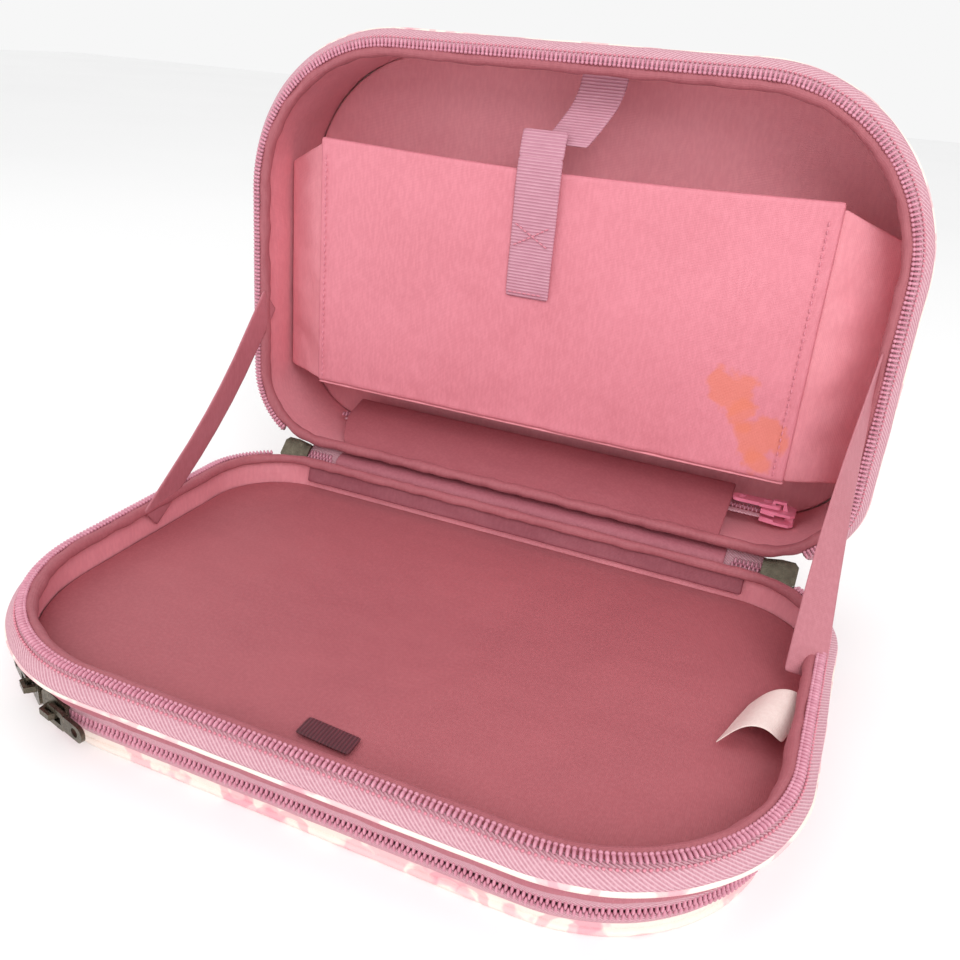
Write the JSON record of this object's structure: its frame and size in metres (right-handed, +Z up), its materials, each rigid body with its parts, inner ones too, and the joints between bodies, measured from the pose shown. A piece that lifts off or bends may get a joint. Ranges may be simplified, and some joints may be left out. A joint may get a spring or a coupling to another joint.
{
  "type": "pencil case",
  "caption": "Soft two-storey pencil case standing open: zip lid with an inner pocket, shallow lined tray and a zipped lower compartment.",
  "frame": {"origin": "middle of the base's bottom face, on the table", "axes": "+X along the hinge, -Y towards the front edge, +Y towards the hinge and the open lid, +Z up"},
  "size_m": [0.2558, 0.219, 0.1997],
  "materials": {
    "outer_print": "cream woven cotton with a scattered pink print",
    "lining": "plain-weave pink polyester lining, slight sheen",
    "gusset_cloth": "plain pink cloth",
    "padded_lining": "padded pink lining",
    "zip_tape": "herringbone zip tape, pale pink",
    "zip_coil": "nylon coil, pale pink",
    "webbing": "ribbed grosgrain ribbon",
    "slider_metal": "dark nickel, worn",
    "pink_enamel": "gloss enamel on die-cast zinc",
    "woven_label": "damask-woven maroon label, blank frame",
    "care_label": "white satin care label, blank",
    "hook_loop": "hook-and-loop fastener"
  },
  "bodies": {
    "base": {"base_panel": "outer_print", "base_lining": "padded_lining", "base_wall": "outer_print", "base_piping": "outer_print", "lower_zip_tape_bottom": "zip_tape", "lower_zip_coil_bottom": "zip_coil", "lower_spine": "gusset_cloth"},
    "tray": {"tray_floor": "padded_lining", "tray_wall": "lining", "tray_gusset": "gusset_cloth", "tray_lip": "lining", "tray_zip_tape": "zip_tape", "tray_zip_coil": "zip_coil", "tray_piping": "outer_print", "hinge_binding": "lining", "woven_label": "woven_label", "care_label": "care_label", "lower_zip_tape_top": "zip_tape", "lower_zip_coil_top": "zip_coil", "zip_stub_left": "zip_coil", "zip_stub_right": "zip_coil", "spine_outer": "outer_print", "stay_strap_left": "webbing", "stay_strap_right": "webbing"},
    "lid": {"lid_panel": "outer_print", "lid_back_lining": "padded_lining", "lid_wall": "lining", "lid_gusset": "outer_print", "lid_lip": "lining", "lid_zip_tape": "zip_tape", "lid_zip_coil": "zip_coil", "lid_piping": "outer_print", "lid_panel_piping": "outer_print", "pocket_front": "padded_lining", "pocket_gusset_left": "lining", "pocket_gusset_right": "lining", "pocket_bottom": "lining", "pocket_loop_patch": "hook_loop", "strap_anchor": "webbing", "spine_flap": "lining", "inner_zip_tape": "zip_tape", "inner_zip_chain": "zip_coil"},
    "closure_tab": {"closure_tab": "webbing", "hook_patch": "hook_loop"},
    "main_slider_left": {"main_slider_left": "slider_metal"},
    "main_slider_right": {"main_slider_right": "slider_metal"},
    "main_puller_left": {"main_puller_left": "slider_metal"},
    "main_puller_right": {"main_puller_right": "slider_metal"},
    "lower_slider_front": {"lower_slider_front": "slider_metal"},
    "lower_slider_side": {"lower_slider_side": "slider_metal"},
    "lower_puller_front": {"lower_puller_front": "slider_metal"},
    "lower_puller_side": {"lower_puller_side": "slider_metal"},
    "inner_slider": {"inner_slider": "pink_enamel"},
    "inner_puller": {"inner_puller": "pink_enamel"}
  },
  "joints": [
    {"name": "tray_hinge", "type": "hinge", "parent": "base", "child": "tray", "pos_m": [0, 0.0782, 0.0104], "axis": [-1, 0, 0], "range_deg": [0, 90], "deforming": ["lower_spine"]},
    {"name": "lid_hinge", "type": "hinge", "parent": "tray", "child": "lid", "pos_m": [0, 0.083, 0.031], "axis": [1, 0, 0], "range_deg": [0, 91], "deforming": ["spine_outer", "stay_strap_left", "stay_strap_right"]},
    {"name": "closure_tab_hinge", "type": "hinge", "parent": "lid", "child": "closure_tab", "pos_m": [0, 0.09044, 0.16189], "axis": [-1, 0, 0], "range_deg": [0, 150], "deforming": ["closure_tab", "hook_patch"]},
    {"name": "main_slider_left_slide", "type": "slide", "parent": "tray", "child": "main_slider_left", "axis": [1, 0, 0], "range_m": [0, 0.012], "deforming": ["zip_stub_left"]},
    {"name": "main_puller_left_swing", "type": "hinge", "parent": "main_slider_left", "child": "main_puller_left", "pos_m": [-0.104, 0.0888, 0.0252], "axis": [0, -0.7071, -0.7071], "range_deg": [-80, 80]},
    {"name": "main_slider_right_slide", "type": "slide", "parent": "tray", "child": "main_slider_right", "axis": [-1, 0, 0], "range_m": [0, 0.012], "deforming": ["zip_stub_right"]},
    {"name": "main_puller_right_swing", "type": "hinge", "parent": "main_slider_right", "child": "main_puller_right", "pos_m": [0.104, 0.0888, 0.0252], "axis": [0, 0.7071, 0.7071], "range_deg": [-80, 80]},
    {"name": "lower_slider_front_travel", "type": "hinge", "parent": "base", "child": "lower_slider_front", "pos_m": [-0.065, -0.023, 0.0104], "axis": [0, 0, 1], "range_deg": [0, 15], "deforming": ["lower_zip_coil_bottom", "lower_zip_coil_top", "lower_zip_tape_bottom", "lower_zip_tape_top"]},
    {"name": "lower_puller_front_swing", "type": "hinge", "parent": "lower_slider_front", "child": "lower_puller_front", "pos_m": [-0.0804, -0.08047, 0.0104], "axis": [0, 0, -1], "range_deg": [0, 120]},
    {"name": "lower_slider_side_travel", "type": "hinge", "parent": "base", "child": "lower_slider_side", "pos_m": [-0.065, -0.023, 0.0104], "axis": [0, 0, -1], "range_deg": [0, 59], "deforming": ["lower_zip_coil_bottom", "lower_zip_coil_top", "lower_zip_tape_bottom", "lower_zip_tape_top"]},
    {"name": "lower_puller_side_swing", "type": "hinge", "parent": "lower_slider_side", "child": "lower_puller_side", "pos_m": [-0.0952, -0.07427, 0.0104], "axis": [0, 0, 1], "range_deg": [0, 120]},
    {"name": "inner_slider_slide", "type": "slide", "parent": "lid", "child": "inner_slider", "axis": [-1, 0, 0], "range_m": [0, 0.16], "deforming": ["inner_zip_chain", "spine_flap"]},
    {"name": "inner_puller_swing", "type": "hinge", "parent": "inner_slider", "child": "inner_puller", "pos_m": [0.098, 0.11123, 0.04371], "axis": [0, 0.9998, -0.0175], "range_deg": [0, 50]}
  ]
}
